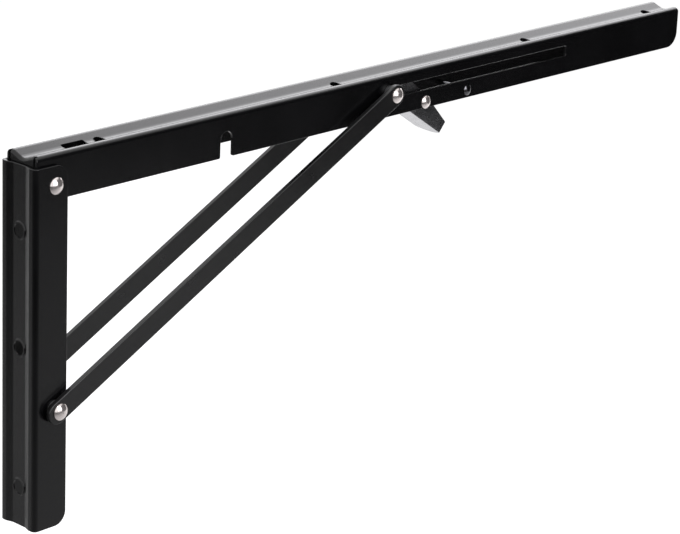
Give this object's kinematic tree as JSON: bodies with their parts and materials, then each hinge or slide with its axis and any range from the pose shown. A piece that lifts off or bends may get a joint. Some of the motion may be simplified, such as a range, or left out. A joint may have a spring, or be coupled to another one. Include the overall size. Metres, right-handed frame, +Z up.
{
  "type": "folding shelf bracket",
  "caption": "Folding shelf bracket: a channel arm hinged on a wall channel, held level by a pair of sliding struts and freed by a sprung release lever.",
  "frame": {"origin": "midway between the upper and the lower wall hole, on the outer face of the wall channel's dished web", "axes": "+X runs out from the wall along the opened arm, +Y is the left side seen from the wall, +Z is up"},
  "size_m": [0.5026, 0.0386, 0.1919],
  "materials": {
    "black_enamel": "semi-gloss baked enamel",
    "nickel_plate": "bright nickel",
    "zinc_plate": "zinc plated",
    "bright_zinc": "bright zinc plated",
    "spring_wire": "drawn wire"
  },
  "bodies": {
    "wall_leg": {"wall_channel": "black_enamel", "hinge_rivet": "nickel_plate", "hinge_sleeve": "zinc_plate", "foot_rivet": "nickel_plate", "foot_sleeve": "zinc_plate", "foot_spacer_left": "zinc_plate", "foot_spacer_right": "zinc_plate"},
    "shelf_arm": {"arm_channel": "black_enamel", "lever_rivet": "nickel_plate", "spring_anchor_rivet": "black_enamel", "latch_spring": "spring_wire"},
    "struts": {"strut_left": "black_enamel", "strut_right": "black_enamel", "slide_rivet_left": "nickel_plate", "slide_rivet_right": "nickel_plate"},
    "slider": {"slide_bush_left": "zinc_plate", "slide_bush_right": "zinc_plate"},
    "lever": {"release_lever": "bright_zinc"}
  },
  "joints": [
    {"name": "arm_fold", "type": "hinge", "parent": "wall_leg", "child": "shelf_arm", "pos_m": [0.0119, 0, 0.0895], "axis": [0, 1, 0], "range_deg": [0, 90]},
    {"name": "strut_swing", "type": "hinge", "parent": "wall_leg", "child": "struts", "pos_m": [0.0119, 0, -0.0248], "axis": [0, 1, 0], "range_deg": [0, 115.81]},
    {"name": "pin_slide", "type": "slide", "parent": "shelf_arm", "child": "slider", "axis": [1, 0, 0], "range_m": [0, 0.1431]},
    {"name": "lever_press", "type": "hinge", "parent": "shelf_arm", "child": "lever", "pos_m": [0.2774, 0, 0.085], "axis": [0, -1, 0], "range_deg": [0, 16], "stiffness_Nm_per_rad": 0.4, "springref_deg": -14.32, "deforming": ["latch_spring"]}
  ],
  "couplings": [
    {"joint": "strut_swing", "follows": "arm_fold", "ratio": 1.2862},
    {"joint": "pin_slide", "follows": "arm_fold", "m_per_rad": 0.090992}
  ]
}
